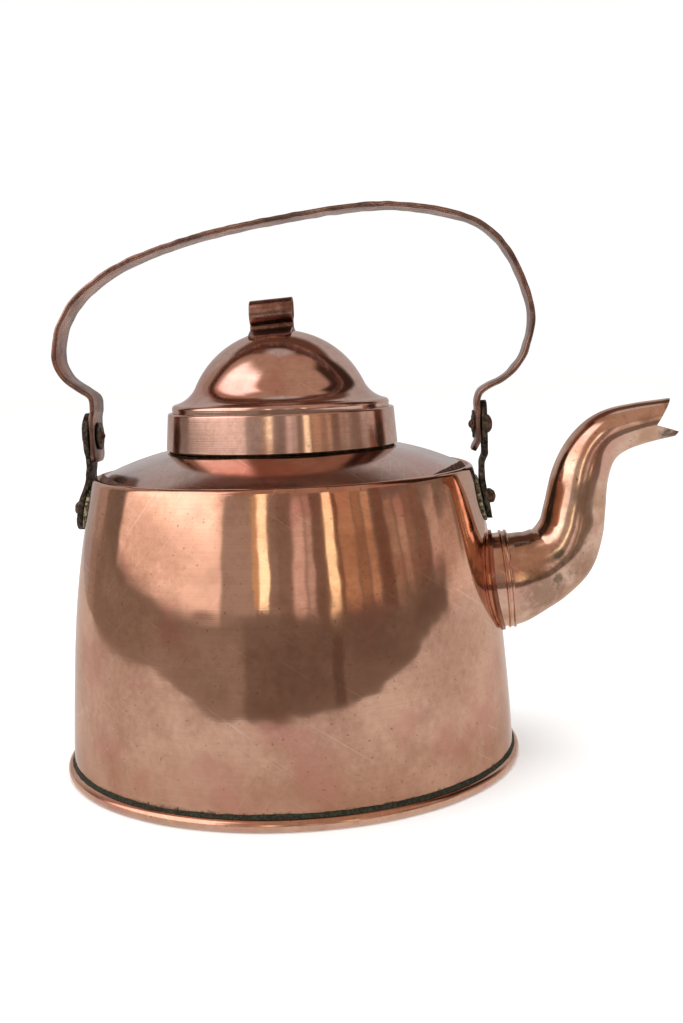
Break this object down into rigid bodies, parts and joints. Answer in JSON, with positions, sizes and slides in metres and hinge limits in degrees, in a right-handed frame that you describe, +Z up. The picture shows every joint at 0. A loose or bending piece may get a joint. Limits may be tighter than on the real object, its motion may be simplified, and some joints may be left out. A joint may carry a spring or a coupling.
{
  "type": "stovetop kettle",
  "caption": "Copper stovetop kettle with a tapered round body, swan-neck spout, lift-off domed lid with a folded knob and a swinging strap handle on riveted ears.",
  "frame": {"origin": "on the axis of the body, at the underside of the base", "axes": "+Z up, +X towards the spout, +Y to the far side seen with the spout at the right"},
  "size_m": [0.2802, 0.2074, 0.2485],
  "materials": {
    "body_copper": "worn polished copper",
    "lid_copper": "worn polished copper",
    "spout_copper": "worn polished copper",
    "strap_copper": "dull brown copper",
    "dark_copper": "dark tarnished copper",
    "ear_metal": "dark brown-olive, pitted",
    "patch_metal": "dull yellowish grey",
    "verdigris": "old solder with dark verdigris",
    "solder": "dark tarnished solder",
    "rim_iron": "iron wire inside the rim",
    "rivet_copper": "dark tarnished rivets"
  },
  "bodies": {
    "kettle": {"base_plate": "body_copper", "rim_wire": "rim_iron", "base_solder": "verdigris", "body_wall": "body_copper", "shoulder_plate": "body_copper", "neck_collar": "body_copper", "neck_bead": "verdigris", "spout_stub": "spout_copper", "stub_solder": "solder", "spout_ring": "spout_copper", "spout_tube": "spout_copper", "ear_left": "ear_metal", "ear_right": "ear_metal", "patch_left": "patch_metal", "patch_right": "patch_metal", "lower_rivet_left": "rivet_copper", "lower_rivet_right": "rivet_copper", "rove_left": "rivet_copper", "rove_right": "rivet_copper", "hinge_pin_left": "rivet_copper", "hinge_pin_right": "rivet_copper", "washer_left": "rivet_copper", "washer_right": "rivet_copper", "seam_solder_left": "solder", "seam_solder_right": "solder"},
    "handle": {"handle_strap": "strap_copper"},
    "lid": {"lid_band": "lid_copper", "lid_dome": "lid_copper", "lid_knob": "dark_copper"}
  },
  "joints": [
    {"name": "handle_swing", "type": "hinge", "parent": "kettle", "child": "handle", "pos_m": [0, 0, 0.14986], "axis": [1, 0, 0], "range_deg": [-100, 100]},
    {"name": "lid_lift", "type": "slide", "parent": "kettle", "child": "lid", "axis": [0, 0, 1], "range_m": [0, 0.028]}
  ]
}
